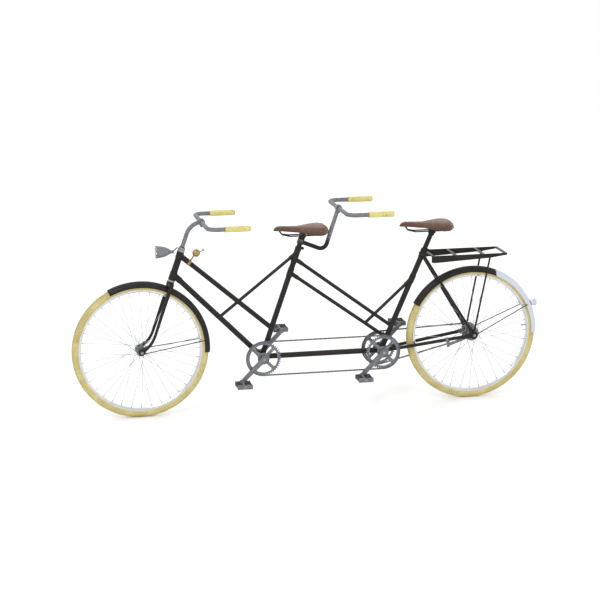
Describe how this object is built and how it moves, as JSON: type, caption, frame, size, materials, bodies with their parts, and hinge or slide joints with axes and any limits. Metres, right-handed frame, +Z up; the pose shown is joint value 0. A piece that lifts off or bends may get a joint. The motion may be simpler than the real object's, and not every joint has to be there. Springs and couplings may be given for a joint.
{
  "type": "tandem bicycle",
  "caption": "Two-seat tandem bicycle: lugged frame with twin lateral tubes, linked cranks, full mudguards, rear rack, headlamp and bell.",
  "frame": {"origin": "on the ground, midway along the bicycle's overall length and on its centre plane", "axes": "+Z up, -X forwards (the front wheel is at -X), +Y to the riders' right"},
  "size_m": [2.4642, 0.482, 1.0642],
  "materials": {
    "frame_enamel": "gloss black stove enamel, warm where worn",
    "plated_steel": "dull cadmium-grey plated steel",
    "bearing_steel": "turned steel",
    "chain_steel": "oiled steel links",
    "tyre_rubber": "cream rubber, ribbed tread",
    "rim_steel": "dulled chrome",
    "spoke_steel": "galvanised wire",
    "guard_enamel": "gloss black enamel with a white rear tail",
    "grip_cream": "pale yellow moulded grips",
    "saddle_leather": "brown saddle leather, waxed",
    "bell_brass": "aged brass",
    "lamp_grey": "grey hammered enamel",
    "lamp_glass": "clear ribbed glass",
    "tail_lamp_red": "pale housing with a red lens",
    "pedal_rubber": "black block rubber on a grey cage"
  },
  "bodies": {
    "frame": {"head_tube": "frame_enamel", "front_main_tubes": "frame_enamel", "seat_tubes": "frame_enamel", "diagonal_struts": "frame_enamel", "lateral_tubes": "frame_enamel", "frame_lugs": "frame_enamel", "seat_clamps": "frame_enamel", "bottom_bracket_shells": "frame_enamel", "bearing_cups": "bearing_steel", "rear_stays": "frame_enamel", "rear_axle": "bearing_steel", "brake_reaction_arm": "plated_steel", "timing_chain": "chain_steel", "drive_chain": "chain_steel", "rear_mudguard": "guard_enamel", "rear_mudguard_stays": "frame_enamel", "tail_lamp": "tail_lamp_red", "rear_rack": "frame_enamel", "bell": "bell_brass"},
    "bell_thumb_lever": {"bell_lever": "plated_steel"},
    "fork": {"fork_crown": "frame_enamel", "fork_blades": "frame_enamel", "headset_races": "bearing_steel", "headlamp_bracket": "plated_steel", "front_mudguard": "guard_enamel", "front_mudguard_stays": "frame_enamel", "front_axle": "bearing_steel"},
    "headlamp": {"headlamp_shell": "lamp_grey", "headlamp_lens": "lamp_glass"},
    "front_wheel": {"front_tyre": "tyre_rubber", "front_rim": "rim_steel", "front_spokes": "spoke_steel", "front_hub_shell": "plated_steel"},
    "rear_wheel": {"rear_tyre": "tyre_rubber", "rear_rim": "rim_steel", "rear_spokes": "spoke_steel", "rear_hub_shell": "plated_steel"},
    "hub_driver": {"rear_sprocket": "plated_steel"},
    "front_crankset": {"front_crank_arms": "plated_steel", "front_crank_spindles": "bearing_steel", "front_chain_rings": "plated_steel"},
    "rear_crankset": {"rear_crank_arms": "plated_steel", "rear_crank_spindles": "bearing_steel", "rear_chain_rings": "plated_steel"},
    "front_pedal_left": {"front_left_pedal": "pedal_rubber"},
    "front_pedal_right": {"front_right_pedal": "pedal_rubber"},
    "rear_pedal_left": {"rear_left_pedal": "pedal_rubber"},
    "rear_pedal_right": {"rear_right_pedal": "pedal_rubber"},
    "stem": {"handlebar_stem": "plated_steel"},
    "front_bar": {"front_handlebar": "plated_steel", "front_grips": "grip_cream"},
    "front_seat": {"front_seat_post": "frame_enamel", "front_saddle_frame": "frame_enamel", "front_saddle_leather": "saddle_leather", "stoker_stem": "frame_enamel"},
    "stoker_bar": {"stoker_handlebar": "plated_steel", "stoker_grips": "grip_cream"},
    "rear_seat": {"rear_seat_post": "frame_enamel", "rear_saddle_frame": "frame_enamel", "rear_saddle_leather": "saddle_leather"}
  },
  "joints": [
    {"name": "steering", "type": "hinge", "parent": "frame", "child": "fork", "pos_m": [-0.69677, 0, 0.76346], "axis": [0.3256, 0, 0.9455], "range_deg": [-60, 60]},
    {"name": "front_wheel_spin", "type": "hinge", "parent": "fork", "child": "front_wheel", "pos_m": [-0.8811, 0, 0.351], "axis": [0, -1, 0], "continuous": true},
    {"name": "rear_wheel_spin", "type": "hinge", "parent": "frame", "child": "rear_wheel", "pos_m": [0.8721, 0, 0.351], "axis": [0, -1, 0], "continuous": true},
    {"name": "rear_crank_spin", "type": "hinge", "parent": "frame", "child": "rear_crankset", "pos_m": [0.3839, 0, 0.283], "axis": [0, -1, 0], "continuous": true},
    {"name": "front_crank_spin", "type": "hinge", "parent": "frame", "child": "front_crankset", "pos_m": [-0.2511, 0, 0.283], "axis": [0, -1, 0], "continuous": true},
    {"name": "sprocket_spin", "type": "hinge", "parent": "frame", "child": "hub_driver", "pos_m": [0.8721, 0, 0.351], "axis": [0, -1, 0], "continuous": true},
    {"name": "front_left_pedal_spin", "type": "hinge", "parent": "front_crankset", "child": "front_pedal_left", "pos_m": [-0.36777, -0.118, 0.16633], "axis": [0, -1, 0], "continuous": true},
    {"name": "front_right_pedal_spin", "type": "hinge", "parent": "front_crankset", "child": "front_pedal_right", "pos_m": [-0.13443, 0.118, 0.39967], "axis": [0, -1, 0], "continuous": true},
    {"name": "rear_left_pedal_spin", "type": "hinge", "parent": "rear_crankset", "child": "rear_pedal_left", "pos_m": [0.26723, -0.118, 0.16633], "axis": [0, -1, 0], "continuous": true},
    {"name": "rear_right_pedal_spin", "type": "hinge", "parent": "rear_crankset", "child": "rear_pedal_right", "pos_m": [0.50057, 0.118, 0.39967], "axis": [0, -1, 0], "continuous": true},
    {"name": "stem_height", "type": "slide", "parent": "fork", "child": "stem", "axis": [0.3256, 0, 0.9455], "range_m": [-0.02, 0.03]},
    {"name": "front_bar_tilt", "type": "hinge", "parent": "stem", "child": "front_bar", "pos_m": [-0.5591, 0, 1.003], "axis": [0, -1, 0], "range_deg": [-20, 20]},
    {"name": "front_saddle_height", "type": "slide", "parent": "frame", "child": "front_seat", "axis": [0.3256, 0, 0.9455], "range_m": [-0.006, 0.05]},
    {"name": "stoker_bar_tilt", "type": "hinge", "parent": "front_seat", "child": "stoker_bar", "pos_m": [0.1529, 0, 1.047], "axis": [0, -1, 0], "range_deg": [-20, 20]},
    {"name": "rear_saddle_height", "type": "slide", "parent": "frame", "child": "rear_seat", "axis": [0.3987, 0, 0.9171], "range_m": [-0.05, 0.06]},
    {"name": "headlamp_tilt", "type": "hinge", "parent": "fork", "child": "headlamp", "pos_m": [-0.7081, 0, 0.855], "axis": [0, -1, 0], "range_deg": [-15, 15]},
    {"name": "bell_lever_push", "type": "hinge", "parent": "frame", "child": "bell_thumb_lever", "pos_m": [-0.5771, -0.006, 0.846], "axis": [0, 1, 0], "range_deg": [0, 20], "stiffness_Nm_per_rad": 0.08}
  ],
  "couplings": [
    {"joint": "front_crank_spin", "follows": "rear_crank_spin", "ratio": 1},
    {"joint": "sprocket_spin", "follows": "rear_crank_spin", "ratio": 2.2}
  ]
}
